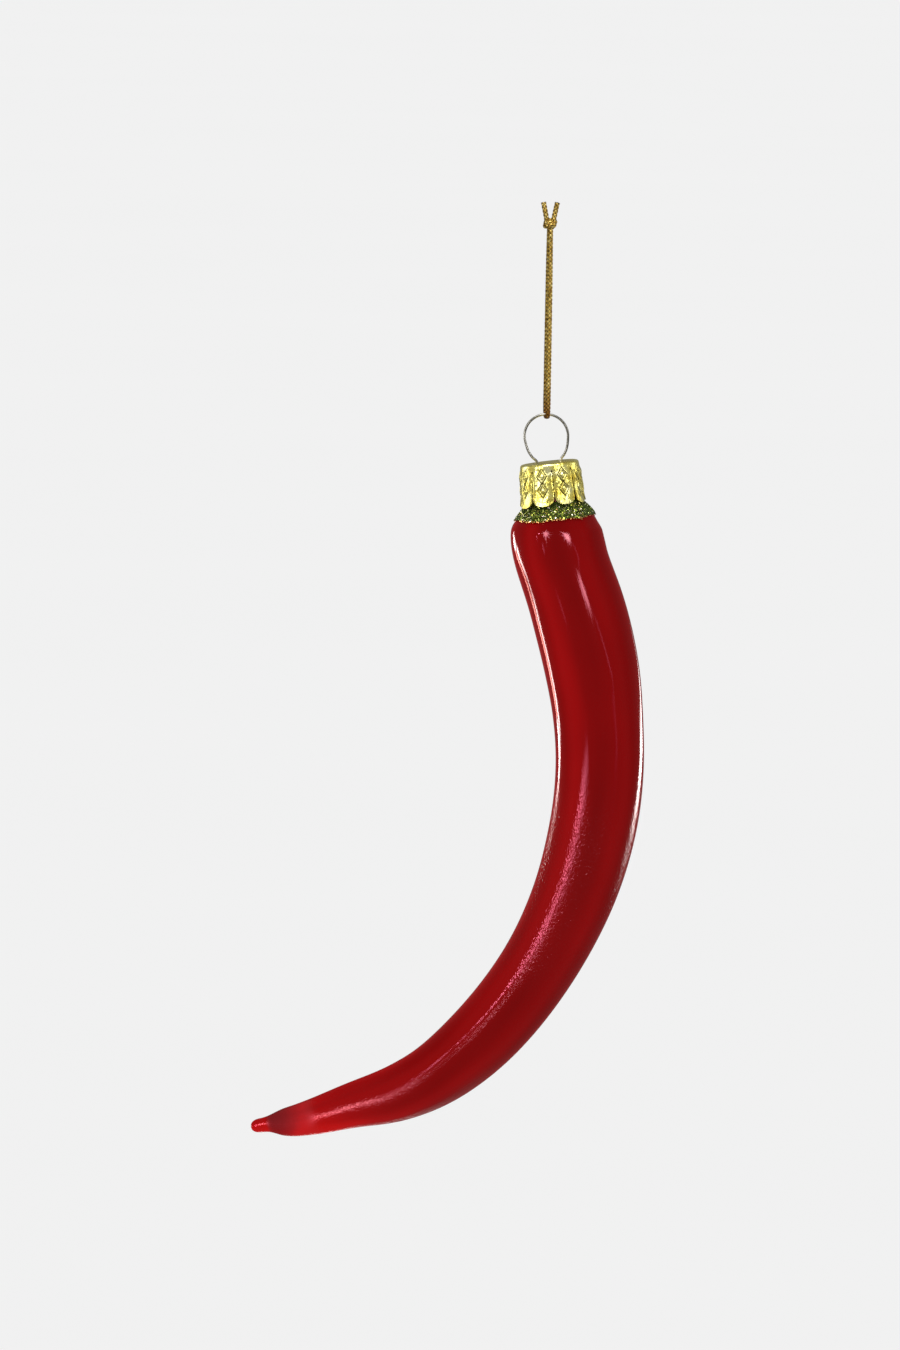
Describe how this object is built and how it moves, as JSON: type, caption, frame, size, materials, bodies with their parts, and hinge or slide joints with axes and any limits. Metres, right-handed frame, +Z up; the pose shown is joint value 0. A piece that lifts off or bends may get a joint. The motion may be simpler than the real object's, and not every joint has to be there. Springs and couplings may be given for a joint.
{
  "type": "chili ornament",
  "caption": "Hollow curved pod of red glass with a glitter collar and a stamped crown cap, hung from a wire ring on a knotted loop of cord.",
  "frame": {"origin": "inside the top of the cord loop, under the knot, where a hook bears", "axes": "+Z up along the hanging cord, +X to the right and +Y away as the pod is seen from the front, its tip pointing to -X"},
  "size_m": [0.0773, 0.0186, 0.1873],
  "materials": {
    "red_glass": "glossy blown glass with deep red lacquer",
    "green_glitter": "green and gold glitter in glue",
    "gold_cap": "bright gold stamped sheet",
    "plated_wire": "bright plated wire",
    "gold_cord": "braided metallic thread"
  },
  "bodies": {
    "cord": {"cord_loop": "gold_cord", "cord_knot": "gold_cord"},
    "hanger": {"wire_hanger": "plated_wire"},
    "cap": {"crown_cap": "gold_cap"},
    "pod": {"glass_pod": "red_glass", "glitter_collar": "green_glitter"}
  },
  "joints": [
    {"name": "ring_swing", "type": "hinge", "parent": "cord", "child": "hanger", "pos_m": [0, 0, -0.0409], "axis": [0, 1, 0], "range_deg": [-105, 105]},
    {"name": "cap_rock", "type": "hinge", "parent": "hanger", "child": "cap", "pos_m": [0.00068, 0, -0.04626], "axis": [0.9921, 0, 0.1253], "range_deg": [-12, 12]},
    {"name": "cap_pull", "type": "slide", "parent": "cap", "child": "pod", "axis": [0.1253, 0, -0.9921], "range_m": [0, 0.012]}
  ]
}
